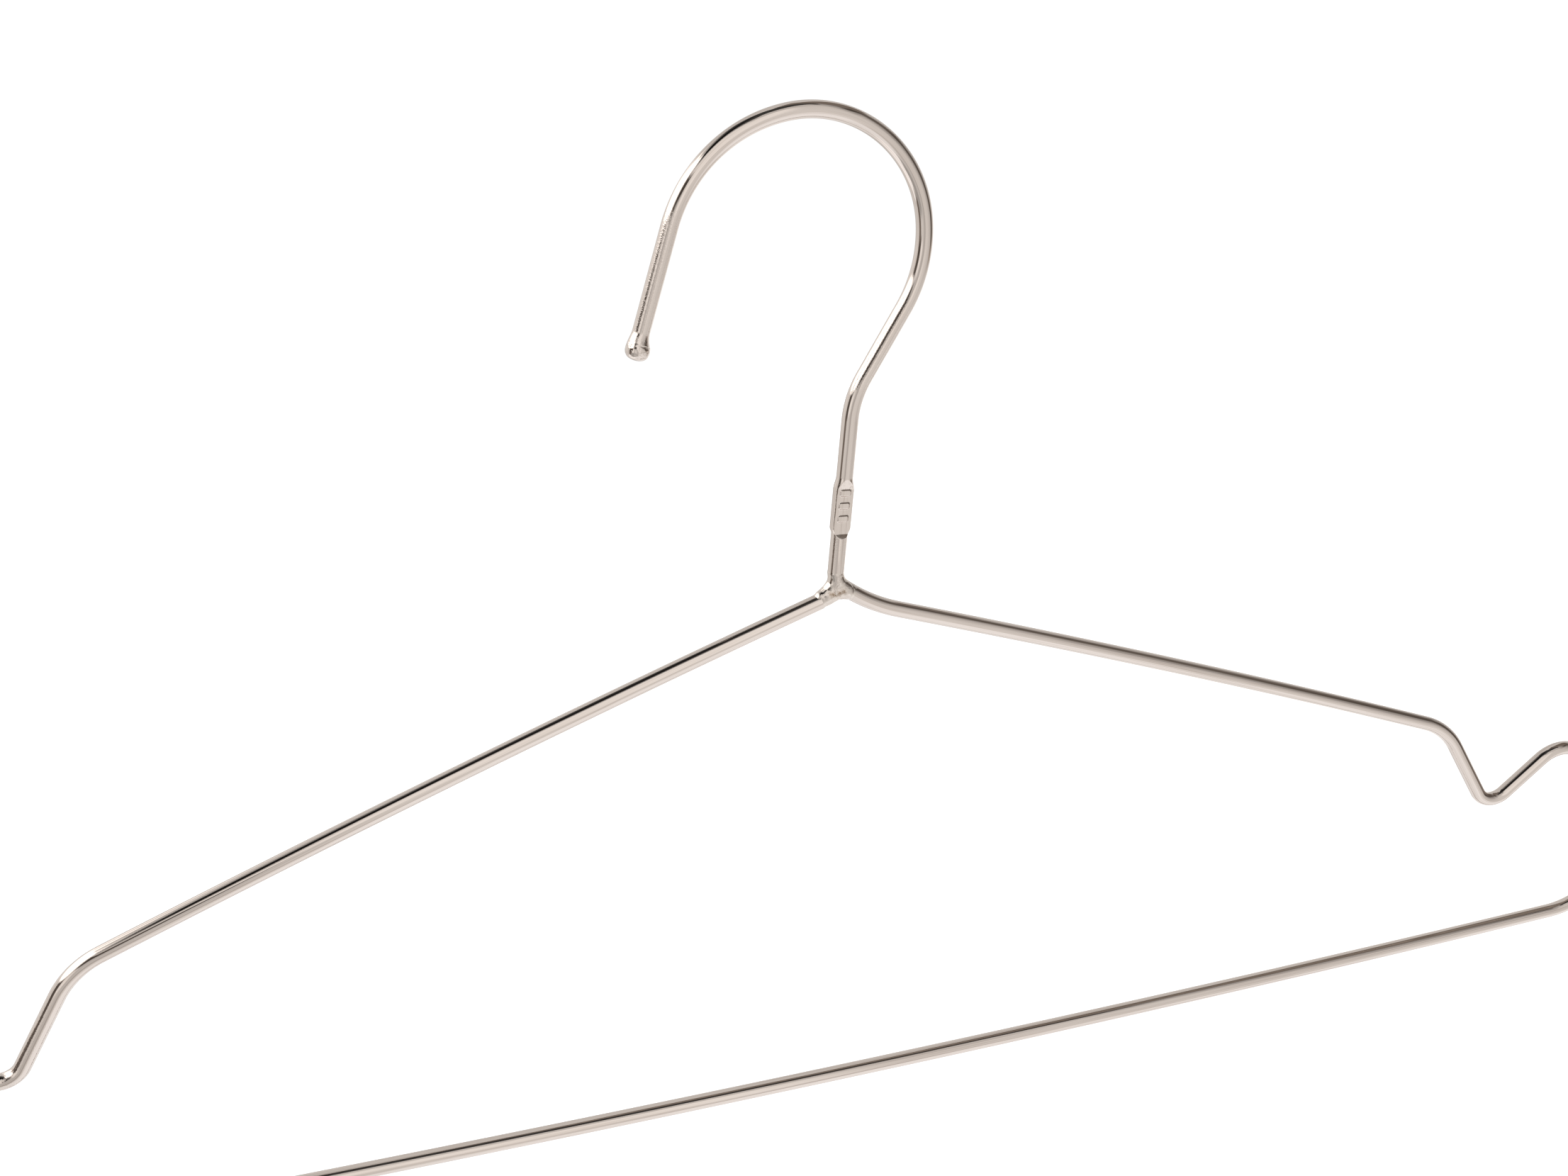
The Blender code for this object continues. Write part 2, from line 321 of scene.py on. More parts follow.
@dataclass(frozen=True)
class DrawnSteel:
    """Bright wire as it leaves the die, with fine lines, some orange peel and dark
    streaks along it that are partly real draw lines and partly painted reflection.
    """

    name: str
    colour: Colour = (0.63, 0.555, 0.50)
    shade: Colour = (0.55, 0.475, 0.42)
    roughness: float = 0.055
    unevenness: float = 0.05
    line_width: float = 0.00022
    line_reach: float = 0.016
    line_depth: float = 0.0000020
    line_span: Span = (0.45, 0.75)
    band_width: float = 0.00088
    band_span: Span = (0.45, 0.70)
    blotch_size: float = 0.0048
    mark: Colour = (0.30, 0.24, 0.20)
    mark_width: float = 0.00030
    mark_reach: float = 0.12
    mark_span: Span = (0.60, 0.68)
    mark_strength: float = 0.35
    peel_size: float = 0.00024
    peel_depth: float = 0.000022

    def material(self) -> bpy.types.Material:
        """Make the finish.

        Returns:
            A new material.
        """
        made, sheet = fresh_material(self.name)
        place = sheet.attribute("wire_place", "Vector")
        peel = sheet.attribute("peel", "Fac")
        # Dark streaks that keep their place round the wire all along it: partly real
        # draw lines, partly painted reflection of the studio's dark strips.
        drawn = sheet.scaled(place, (1.0, 1.0, self.line_width / self.line_reach))
        lines = sheet.grain(drawn, self.line_width, detail=1.0)
        bands = sheet.grain(drawn, self.band_width, detail=1.0)
        grains = sheet.grain(place, self.peel_size, detail=1.5)
        blotch = sheet.grain(place, self.blotch_size)
        streaks_and_painted_reflection = lines.smooth(*self.line_span) * 0.5 + bands.smooth(*self.band_span) * 0.5
        colour = sheet.mix(streaks_and_painted_reflection, rgba(self.colour), rgba(self.shade))
        # Long brown streaks in the colour: partly real draw marks, partly painted
        # reflection of dark strips.
        long = sheet.scaled(place, (1.0, 1.0, self.mark_width / self.mark_reach))
        marks = sheet.grain(long, self.mark_width, detail=1.0).smooth(*self.mark_span)
        colour = sheet.mix(marks * self.mark_strength, colour, rgba(self.mark))
        rough = self.roughness + (bands - 0.5) * self.unevenness
        rough = rough + (blotch - 0.5) * self.unevenness
        line_bump = sheet.bump(lines, self.line_depth)
        peel_bump = sheet.bump(grains * peel, self.peel_depth, line_bump)
        sheet.metal(colour, rough, peel_bump)
        return made


@dataclass(frozen=True)
class WeldSteel:
    """Steel that has melted and frozen, with scorched places in its folds."""

    name: str
    colour: Colour = (0.62, 0.55, 0.49)
    dull: Colour = (0.57, 0.50, 0.445)
    browned: Colour = (0.36, 0.28, 0.215)
    scorched: Colour = (0.27, 0.20, 0.145)
    smooth: float = 0.06
    rough: float = 0.14
    patch_size: float = 0.0007
    patch_heat: float = 0.6
    speck_size: float = 0.00022
    speck_heat: float = 0.4
    scorch_heat: float = 0.18
    dulling: Span = (0.35, 0.65)
    browning: Span = (0.44, 0.64)
    brown_share: float = 0.75
    burning: Span = (0.60, 0.74)
    fold_depth: float = 0.00006
    pit_depth: float = 0.000005

    def material(self) -> bpy.types.Material:
        """Make the finish.

        Returns:
            A new material.
        """
        made, sheet = fresh_material(self.name)
        place = sheet.attribute("wire_place", "Vector")
        scorch = sheet.attribute("scorch", "Fac")
        melted = sheet.attribute("melted", "Fac")
        patches = sheet.grain(place, self.patch_size, detail=3.0, rough=0.6)
        specks = sheet.grain(place, self.speck_size)
        dull = patches.smooth(*self.dulling) * melted
        heat = patches * self.patch_heat + specks * self.speck_heat
        heat = heat + scorch * self.scorch_heat
        burnt = heat.smooth(*self.burning) * scorch
        browned = heat.smooth(*self.browning) * scorch * self.brown_share
        colour = sheet.mix(dull, rgba(self.colour), rgba(self.dull))
        colour = sheet.mix(browned, colour, rgba(self.browned))
        colour = sheet.mix(burnt, colour, rgba(self.scorched))
        rough = self.smooth + (self.rough - self.smooth) * melted
        folds = sheet.bump(patches * melted, self.fold_depth)
        pits = sheet.bump(specks * melted, self.pit_depth, folds)
        sheet.metal(colour, rough, pits)
        return made


# The wire's route


def held(share: float) -> float:
    """A share kept between 0 and 1."""
    return max(0.0, min(1.0, share))


def eased(share: float) -> float:
    """A share from 0 to 1 that starts and ends gently."""
    share = held(share)
    return share * share * (3 - 2 * share)


def eased_all(shares: np.ndarray) -> np.ndarray:
    """Each share eased as one is."""
    shares = shares.clip(0, 1)
    return shares * shares * (3 - 2 * shares)


def ahead_of(station: Station, run: float) -> Station:
    """The station that lies a run ahead of another, on its heading."""
    x, z, heading = station
    return (x + run * math.cos(heading), z + run * math.sin(heading), heading)


class Route:
    """A walk in the plane Y = 0 that leaves a station (x, z, heading) at each step."""

    def __init__(self, station: Station) -> None:
        """Start a walk where the station is, facing as it does."""
        self.stations = [station]

    @property
    def end(self) -> Station:
        """The last station."""
        return self.stations[-1]

    def straight(self, length: float) -> "Route":
        """Walk ahead.

        Args:
            length: how far.

        Returns:
            The route itself.
        """
        start = self.end
        steps = max(1, math.ceil(length / LONGEST_STEP))
        for step in range(1, steps + 1):
            self.stations.append(ahead_of(start, length * step / steps))
        return self

    def bend(self, radius: float, turn: float) -> "Route":
        """Walk round an arc. A positive turn bears left, seen from the front.

        Args:
            radius: the arc's radius.
            turn: its angle.

        Returns:
            The route itself.
        """
        x, z, heading = self.end
        side = math.copysign(1, turn)
        centre_x = x - side * radius * math.sin(heading)
        centre_z = z + side * radius * math.cos(heading)
        by_angle = math.ceil(abs(turn) / BEND_STEP)
        by_length = math.ceil(abs(turn) * radius / LONGEST_STEP)
        steps = max(1, by_angle, by_length)
        for step in range(1, steps + 1):
            now = heading + turn * step / steps
            self.stations.append(
                (
                    centre_x + side * radius * math.sin(now),
                    centre_z - side * radius * math.cos(now),
                    now,
                )
            )
        return self


def turned_back(stations: Sequence[Station]) -> list[Station]:
    """The same stations walked the other way."""
    return [(x, z, heading + math.pi) for x, z, heading in reversed(stations)]


def mirrored(stations: Sequence[Station], axis: float) -> list[Station]:
    """The stations of the frame's other half, about X = axis."""
    return [(2 * axis - x, z, math.pi - heading) for x, z, heading in stations]


def frame_at(station: Station) -> Matrix:
    """Matrix of a station: X across the wire in the hanger's plane, Z along the wire.

    Args:
        station: the station.

    Returns:
        The matrix.
    """
    x, z, heading = station
    along = Vector((math.cos(heading), 0, math.sin(heading)))
    across = Vector((-math.sin(heading), 0, math.cos(heading)))
    turn = Matrix((across, along.cross(across), along)).transposed().to_4x4()
    return Matrix.Translation((x, 0, z)) @ turn


def round_section(radius: float = WIRE_RADIUS, sides: int = SIDES) -> Section:
    """A round section, as pairs of (across, through)."""
    turns = ((side + 0.5) * 2 * math.pi / sides for side in range(sides))
    return [(radius * math.cos(turn), radius * math.sin(turn)) for turn in turns]


def peel_at(run: float) -> float:
    """How much orange peel the wire has at a place along it."""
    shares = (
        strength * eased(min((run - first) / PEEL_FADE, (last - run) / PEEL_FADE))
        for first, last, strength in PEELED_RUNS
    )
    return max(PEEL_ELSEWHERE, *shares)


class Tube:
    """A skin over one section per station, closed at both ends."""

    def __init__(
        self, stations: Sequence[Station], sections: Sequence[Section], run: float
    ) -> None:
        """Lay out the rings.

        Args:
            stations: where the rings are.
            sections: the outline of each.
            run: how much of the wire lies before the first.
        """
        self.bm = bmesh.new()
        self.layer = self.bm.verts.layers.float_vector.new("wire_place")
        self.peel = self.bm.verts.layers.float.new("peel")
        self.run = run
        rings = []
        last = stations[0]
        for station, section in zip(stations, sections):
            self.run += math.hypot(station[0] - last[0], station[1] - last[1])
            rings.append(self._ring(station, section))
            last = station
        self._skin(rings)

    def _ring(self, station: Station, section: Section) -> list[bmesh.types.BMVert]:
        """Add one ring of points.

        Args:
            station: where it is.
            section: its outline.

        Returns:
            Its points.
        """
        place = frame_at(station)
        ring = []
        for across, through in section:
            point = self.bm.verts.new(place @ Vector((across, through, 0)))
            point[self.layer] = (across, through, self.run)
            point[self.peel] = peel_at(self.run)
            ring.append(point)
        return ring

    def _skin(self, rings: Sequence[Sequence[bmesh.types.BMVert]]) -> None:
        """Join the rings and close both ends.

        Args:
            rings: the points of each ring, in order.
        """
        sides = len(rings[0])
        for first, second in zip(rings, rings[1:]):
            for side in range(sides):
                after = (side + 1) % sides
                self.bm.faces.new(
                    (first[side], first[after], second[after], second[side])
                )
        self.bm.faces.new(rings[0])
        self.bm.faces.new(rings[-1])


def as_piece(name: str, bm: bmesh.types.BMesh) -> bpy.types.Object:
    """Turn a bmesh into an object with round sides and crisp ends.

    Args:
        name: the object's name.
        bm: its shape, which is freed.

    Returns:
        The object.
    """
    bmesh.ops.recalc_face_normals(bm, faces=bm.faces)
    mesh = bpy.data.meshes.new(name)
    bm.to_mesh(mesh)
    bm.free()
    mesh.shade_smooth()
    mesh.set_sharp_from_angle(angle=CREASE_ANGLE)
    made = bpy.data.objects.new(name, mesh)
    bpy.context.scene.collection.objects.link(made)
    return made


def points_of(piece: bpy.types.Object) -> np.ndarray:
    """A piece's points, one row each."""
    points = np.zeros(len(piece.data.vertices) * 3)
    piece.data.vertices.foreach_get("co", points)
    return points.reshape(-1, 3)


def past(points: np.ndarray, station: Station) -> np.ndarray:
    """How far points lie past a station, on its heading."""
    x, z, heading = station
    across = (points[:, 0] - x) * math.cos(heading)
    return across + (points[:, 2] - z) * math.sin(heading)


def applied(piece: bpy.types.Object) -> None:
    """Put a piece's modifiers into its mesh.

    Args:
        piece: the piece.
    """
    graph = bpy.context.evaluated_depsgraph_get()
    graph.update()
    mesh = bpy.data.meshes.new_from_object(piece.evaluated_get(graph))
    piece.modifiers.clear()
    old = piece.data
    piece.data = mesh
    bpy.data.meshes.remove(old)


def stand_in(piece: bpy.types.Object, node: str) -> None:
    """Let a piece stand for a CAD node, on the hanger's one body.

    Args:
        piece: the fine piece.
        node: the CAD node that it replaces.
    """
    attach(piece, "root")
    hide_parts(node)
    low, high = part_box(node)
    points = points_of(piece)
    below, above = abs(points.min(axis=0) - low), abs(points.max(axis=0) - high)
    gap = 1000 * max(*below, *above)
    LOG.info("%s: %d points, off its node's box by %.3f mm", node, len(points), gap)


# The hanger's sub-assemblies


class Wire:
    """The one wire, which keeps count of its length as its stretches are made."""

    def __init__(self, finish: DrawnSteel) -> None:
        """Start at the ball, with the steel that the wire is drawn from."""
        self.run = 0.0
        self.steel = finish.material()

    def stretch(
        self,
        node: str,
        stations: Sequence[Station],
        sections: Sequence[Section] | None = None,
    ) -> None:
        """Make the next stretch of the wire, which stands for a CAD node.

        Args:
            node: the CAD node.
            stations: the stretch's stations, in the wire's direction.
            sections: an outline for each station, or none for round wire.
        """
        tube = Tube(stations, sections or [round_section()] * len(stations), self.run)
        LOG.info("%s runs from %.4f to %.4f m", node, self.run, tube.run)
        self.run = tube.run
        piece = as_piece(f"{node}_wire", tube.bm)
        piece.data.materials.append(self.steel)
        stand_in(piece, node)


@dataclass
class Ball:
    """The upset end of the hook, with the crease and the dents from the upsetting."""

    radius: float = 0.00245
    depth: float = 0.00215
    fullness: float = 2.5
    foot_angle: float = math.radians(4)
    foot_sweep: float = math.radians(86)
    flare: float = 0.0036
    stem: float = 0.0065
    lean: float = 0.00025
    rings: int = 64
    dent_size: float = 0.0006
    dent_depth: float = 0.00011
    dent_top: float = 0.0004
    dent_fade: float = 0.0012
    crease_height: float = 0.00105
    crease_width: float = 0.00016
    crease_depth: float = 0.00011
    crease_wander: float = 0.0002
    crease_waves: float = 2
    crease_middle: float = math.radians(60)
    crease_reach: float = math.radians(85)
    shoulder_height: float = 0.0005
    shoulder_run: float = 0.0016
    slimness: float = 0.4
    slim_side: float = 0.35

    def profile(self) -> list[tuple[float, float]]:
        """Half outline from the foot up the stem.

        Returns:
            Pairs of (height above the ball's middle, radius).
        """
        power = 2 / self.fullness
        outline = []
        for step in range(self.rings + 1):
            angle = self.foot_angle + self.foot_sweep * step / self.rings
            height = 0.0
            if step < self.rings:
                height = -self.depth * math.cos(angle) ** power
            outline.append((height, self.radius * math.sin(angle) ** power))
        for step in range(1, self.rings + 1):
            share = step / self.rings
            radius = self.radius + (WIRE_RADIUS - self.radius) * eased(share)
            outline.append((self.flare * share, radius))
        outline.append((self.stem, WIRE_RADIUS))
        return outline

    def worked(self, across: float, through: float, height: float) -> Point:
        """A point of the ball's skin, moved by the crease and the dents.

        Args:
            across: the point's place across the wire.
            through: its place towards the front.
            height: its height above the ball's middle.

        Returns:
            The moved (across, through).
        """
        radius = math.hypot(across, through)
        turn = math.atan2(through, -across)
        beyond = eased((height - self.shoulder_height) / self.shoulder_run)
        slimmer = self.slimness * beyond * eased(self.slim_side - across / radius)
        off = abs(turn - self.crease_middle) / self.crease_reach
        wander = noise.noise(Vector((turn * self.crease_waves, 0, 0)))
        line = self.crease_height + self.crease_wander * wander
        groove = math.exp(-(((height - line) / self.crease_width) ** 2))
        groove *= 1 - eased(off)
        spot = Vector((across, through, height)) / self.dent_size
        smoother = eased((height - self.dent_top) / self.dent_fade)
        dent = noise.noise(spot) * (1 - smoother)
        move = self.dent_depth * min(0.0, dent) - self.crease_depth * groove
        share = 1 + (move - slimmer * (radius - WIRE_RADIUS)) / radius
        return (across * share, through * share)

    def build(self, wire: Wire, stem_end: Station) -> None:
        """Make the ball.

        Args:
            wire: the wire that it starts.
            stem_end: the station where the hook begins, facing away from the ball.
        """
        stations = []
        sections = []
        for height, radius in self.profile():
            stations.append(ahead_of(stem_end, height - self.stem))
            lean = -self.lean * (1 - eased(height / self.flare))
            ring = [self.worked(*point, height) for point in round_section(radius)]
            sections.append([(across + lean, through) for across, through in ring])
        wire.stretch("ball_tip", stations, sections)


@dataclass
class Hook:
    """The hook over the rail, from the ball's stem to the slanted straight."""

    crown_radius: float = 0.0242
    crown_turn_to_tip: float = math.radians(7.1)
    crown_turn_to_neck: float = math.radians(86.3)
    tip_bend_radius: float = 0.0294
    tip_bend_turn: float = math.radians(64.5)
    tip_straight: float = 0.0240
    back_bend_radius: float = 0.0285
    back_bend_turn: float = math.radians(36.1)
    throat_straight: float = 0.0156
    ball: Ball = field(default_factory=Ball)

    def stations(self) -> list[Station]:
        """The hook's stations, from the ball's stem to the middle of the straight.

        Returns:
            The stations.
        """
        tip = Route((0.0, WIRE_RADIUS, math.pi))
        tip.bend(self.crown_radius, self.crown_turn_to_tip)
        tip.bend(self.tip_bend_radius, self.tip_bend_turn)
        tip.straight(self.tip_straight - self.ball.stem)
        throat = Route((0.0, WIRE_RADIUS, 0.0))
        throat.bend(self.crown_radius, -self.crown_turn_to_neck)
        throat.bend(self.back_bend_radius, -self.back_bend_turn)
        throat.straight(self.throat_straight / 2)
        return turned_back(tip.stations) + throat.stations[1:]

    def build(self, wire: Wire) -> Station:
        """Make the ball and the hook.

        Args:
            wire: the wire that they start.

        Returns:
            The station where the hook ends.
        """
        stations = self.stations()
        self.ball.build(wire, stations[0])
        wire.stretch("hook", stations)
        return stations[-1]


@dataclass
class PressedFlat:
    """The flat pressed into the neck, with three plain raised bars across it."""

    start: float = 0.0130
    length: float = 0.0111
    half_width: float = 0.00218
    front_depth: float = 0.00115
    back_depth: float = 0.00135
    deepening: float = 0.00018
    tilt: float = math.tan(math.radians(8))
    upper_lead: float = 0.0012
    upper_ramp: float = 0.0028
    lower_ramp: float = 0.0015
    lower_lead: float = 0.0002
    step: float = 0.0008
    swell: float = 0.18
    bar_places: tuple[float, ...] = (0.0021, 0.0049, 0.0077)
    bar_half_length: float = 0.00068
    bar_half_reach: float = 0.00118
    bar_shift: float = 0.0001
    bar_round: float = 0.00045
    bar_height: float = 0.00028
    bar_edge: float = 0.00034
    ring_gap: float = 0.00008
    sides: int = 144

    @property
    def end(self) -> float:
        """Where the flat ends along the straight neck."""
        return self.start + self.length

    def bar(self, across: float, run: float) -> float:
        """Height of the raised bars over the flat.

        Args:
            across: the place across the neck.
            run: the place along it.

        Returns:
            The height.
        """
        height = 0.0
        for place in self.bar_places:
            side = abs(across - self.bar_shift) - self.bar_half_reach + self.bar_round
            end = abs(run - self.start - place) - self.bar_half_length + self.bar_round
            outside = math.hypot(max(side, 0.0), max(end, 0.0))
            outside += min(max(side, end), 0.0)
            inside = 0.5 - (outside - self.bar_round) / self.bar_edge
            height = max(height, self.bar_height * eased(inside))
        return height

    def section(self, run: float) -> Section:
        """The neck's outline at a place along it.

        Args:
            run: the place.

        Returns:
            The outline.
        """
        entered = (run - self.start + self.upper_lead) / self.upper_ramp
        leaving = (self.end + self.lower_lead - run) / self.lower_ramp
        spread = eased(min(entered, leaving))
        left = 1 - (run - self.end) / self.step
        pressed = min(eased(entered), held(left))
        width = 1 + spread * (self.half_width / WIRE_RADIUS - 1)
        deeper = self.deepening * held((run - self.start) / self.length)
        front = WIRE_RADIUS + pressed * (self.front_depth - deeper - WIRE_RADIUS)
        back = WIRE_RADIUS + pressed * (self.back_depth - WIRE_RADIUS)
        swell = 1 + self.swell * min(spread, pressed)
        section = []
        for across, through in round_section(sides=self.sides):
            across, through = across * width, through * swell
            face = front - across * self.tilt * pressed
            if through >= face:
                through = face + self.bar(across, run) * pressed
            section.append((across, max(-back, through)))
        return section

    def places(self) -> list[float]:
        """Where the flat's rings are, from just above it to just below.

        Returns:
            Places along the straight neck.
        """
        first = self.start - self.upper_lead
        reach = self.end + self.step - first
        count = math.ceil(reach / self.ring_gap)
        return [first + reach * step / count for step in range(count + 1)]


@dataclass
class Neck:
    """The lower throat, the neck's bend and the straight neck with its flat."""

    lead: float = 0.0078
    bend_radius: float = 0.0202
    bend_turn: float = math.radians(26.4)
    straight: float = 0.0325
    flat: PressedFlat = field(default_factory=PressedFlat)

    def build(self, wire: Wire, start: Station) -> Station:
        """Make the neck.

        Args:
            wire: the wire.
            start: the station where the hook ends.

        Returns:
            The station where the weld begins.
        """
        lead = Route(start).straight(self.lead).bend(self.bend_radius, self.bend_turn)
        runs = self.flat.places() + [self.straight]
        lower = [ahead_of(lead.end, run) for run in runs]
        sections = [round_section(sides=self.flat.sides)] * len(lead.stations)
        sections += [self.flat.section(run) for run in runs]
        wire.stretch("neck", lead.stations + lower, sections)
        return lower[-1]


@dataclass
class Frame:
    """The two shoulders with their strap notches, the two ends and the trouser bar."""

    axis: float = 0.0038
    ease_radius: float = 0.0402
    start_slope: float = math.radians(-18.7)
    bow_radius: float = 3.45
    bow_length: float = 0.1472
    bow_parts: int = 6
    notch_lead: float = 0.006
    corner_radius: float = 0.0193
    corner_turn: float = math.radians(37.6)
    drop_length: float = 0.0170
    bottom_radius: float = 0.0055
    bottom_turn: float = math.radians(97.2)
    rise_length: float = 0.0125
    peak_radius: float = 0.0095
    end_slope: float = math.radians(-20.5)
    notch_tail: float = 0.004
    end_radius: float = 0.0235
    bar_height: float = -0.2196
    bar_bow_radius: float = 6.4
    bar_lead: float = 0.008
    bar_parts: tuple[int, ...] = (6, 5, 6)
    left_parts: tuple[int, int] = (4, 3)
    left_end_from_axis: float = 0.0022

    def shoulder(self, start: Station) -> tuple[list[Station], list[Station]]:
        """The right shoulder, in two stretches.

        Args:
            start: the station where the weld ends.

        Returns:
            The stations beside the weld, and those of the long slope.
        """
        bow = self.bow_length - self.notch_lead
        upper = Route(start).bend(self.ease_radius, self.start_slope - start[2])
        upper.bend(self.bow_radius, -bow / self.bow_parts / self.bow_radius)
        rest = bow * (self.bow_parts - 1) / self.bow_parts
        lower = Route(upper.end).bend(self.bow_radius, -rest / self.bow_radius)
        return upper.stations, lower.stations

    def notch(self, start: Station) -> list[Station]:
        """The V that keeps a strap on the shoulder.

        Args:
            start: the station where the shoulder ends.

        Returns:
            Its stations.
        """
        route = Route(start).bend(self.bow_radius, -self.notch_lead / self.bow_radius)
        route.bend(self.corner_radius, -self.corner_turn)
        route.straight(self.drop_length)
        route.bend(self.bottom_radius, self.bottom_turn)
        route.straight(self.rise_length)
        route.bend(self.peak_radius, self.end_slope - route.end[2])
        return route.straight(self.notch_tail).stations

    def outer_end(self, start: Station) -> list[Station]:
        """The shoulder's last straight and the bend into the bar.

        Args:
            start: the station where the notch ends.

        Returns:
            Its stations.
        """
        x, z, heading = start
        along = Vector((math.cos(heading), math.sin(heading)))
        inward = Vector((math.sin(heading), -math.cos(heading)))
        base = Vector((x, z)) + inward * self.end_radius
        bow_centre = Vector((self.axis, self.bar_height + self.bar_bow_radius))
        offset = base - bow_centre
        reach = self.bar_bow_radius - self.end_radius
        half = along.dot(offset)
        run = -half + math.sqrt(half * half - offset.length_squared + reach * reach)
        outward = base + along * run - bow_centre
        bar_heading = math.atan2(outward.x, -outward.y) - math.pi
        route = Route(start).straight(run)
        route.bend(self.end_radius, bar_heading - heading)
        route.bend(self.bar_bow_radius, -self.bar_lead / self.bar_bow_radius)
        return route.stations

    def bar(self, start: Station) -> list[list[Station]]:
        """The bar between the two ends, bowed down in its middle, in three stretches.

        Args:
            start: the station where the right end bend ends.

        Returns:
            The stations of each stretch.
        """
        turn = -2 * (start[2] + math.pi)
        stretches = []
        for part in self.bar_parts:
            share = part / sum(self.bar_parts)
            route = Route(start).bend(self.bar_bow_radius, turn * share)
            stretches.append(route.stations)
            start = route.end
        return stretches

    def left_joint(self, right_end: Station) -> Station:
        """The left shoulder's welded end, on the mirror of the right one's line.

        Args:
            right_end: the station where the right shoulder ends.

        Returns:
            The joint's station, before it is mirrored.
        """
        x, z, heading = right_end
        centre_x = x + self.bow_radius * math.sin(heading)
        centre_z = z - self.bow_radius * math.cos(heading)
        reach = self.axis + self.left_end_from_axis
        now = math.asin((centre_x - reach) / self.bow_radius)
        return (reach, centre_z + self.bow_radius * math.cos(now), now)

    def mirror_back(self, stations: Sequence[Station]) -> list[Station]:
        """The left half's stations in the wire's direction."""
        return turned_back(mirrored(stations, self.axis))

    def build(self, wire: Wire, start: Station) -> Station:
        """Make the frame, round from the weld to the weld.

        Args:
            wire: the wire.
            start: the station where the weld ends.

        Returns:
            The station of the wire's welded end.
        """
        upper, lower = self.shoulder(start)
        notch = self.notch(lower[-1])
        outer = self.outer_end(notch[-1])
        joint = self.left_joint(lower[-1])
        turn = lower[-1][2] - joint[2]
        parts = sum(self.left_parts)
        first, second = (turn * part / parts for part in self.left_parts)
        inner = Route(joint).bend(self.bow_radius, first).stations
        slope = Route(inner[-1]).bend(self.bow_radius, second).stations
        wire.stretch("right_shoulder", upper)
        wire.stretch("right_shoulder_slope", lower)
        wire.stretch("right_strap_notch", notch)
        wire.stretch("right_shoulder_end", outer)
        nodes = ("bar_right_run", "trouser_bar", "bar_left_run")
        for node, stations in zip(nodes, self.bar(outer[-1])):
            wire.stretch(node, stations)
        wire.stretch("left_shoulder_end", self.mirror_back(outer))
        wire.stretch("left_strap_notch", self.mirror_back(notch))
        wire.stretch("left_shoulder_slope", self.mirror_back(slope))
        wire.stretch("left_shoulder", self.mirror_back(inner))
        return self.mirror_back(inner)[-1]


